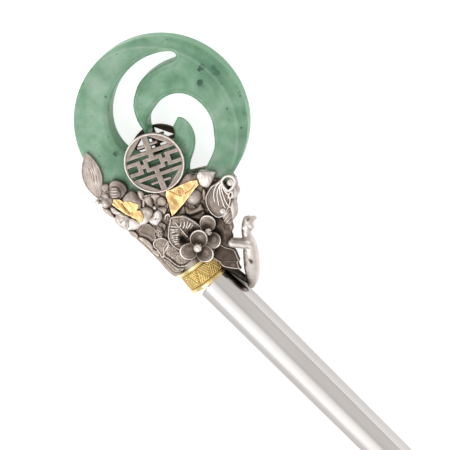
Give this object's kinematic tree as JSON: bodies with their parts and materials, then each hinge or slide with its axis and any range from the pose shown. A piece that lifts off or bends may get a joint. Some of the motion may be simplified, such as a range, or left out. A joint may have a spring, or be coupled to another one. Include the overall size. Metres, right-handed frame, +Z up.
{
  "type": "binyeo hairpin",
  "caption": "Hairpin with a round tapered metal shaft, a gilt collar and a cast leaf and blossom head that grips a carved stone ring with a swirl opening and pierced roundels.",
  "frame": {"origin": "middle of the back roundel's back face, on the surface that the hairpin lies on", "axes": "+Z up, away from the surface, and +X along the shaft, towards its tip"},
  "size_m": [0.1695, 0.0389, 0.0123],
  "materials": {
    "jade": "polished nephrite, milky green with dark flecks",
    "satin_silver": "satin silver",
    "oxidised_silver": "oxidised silver with bright edges",
    "polished_silver": "polished silver",
    "gilt": "satin gilt"
  },
  "bodies": {
    "root": {"jade_ring": "jade", "front_roundel": "satin_silver", "back_roundel": "oxidised_silver", "setting": "oxidised_silver", "gold_band": "gilt", "shaft": "polished_silver", "left_leaf": "satin_silver", "ribbed_bud": "oxidised_silver", "left_buds": "oxidised_silver", "left_blossom": "oxidised_silver", "gold_leaf_left": "gilt", "small_blossom": "oxidised_silver", "bright_bud": "polished_silver", "broad_leaf": "oxidised_silver", "stamens": "oxidised_silver", "sprig": "oxidised_silver", "middle_petal": "oxidised_silver", "gold_leaf_right": "gilt", "small_leaf": "satin_silver", "dome_bud": "satin_silver", "leaf_strips": "oxidised_silver", "filigree_pod": "oxidised_silver", "pod_leaf": "satin_silver", "heart_leaf": "oxidised_silver", "main_blossom": "oxidised_silver", "rear_blossom": "oxidised_silver", "dark_leaf": "oxidised_silver", "right_leaf": "oxidised_silver", "lower_left_leaf": "oxidised_silver", "twig": "polished_silver"}
  },
  "joints": []
}
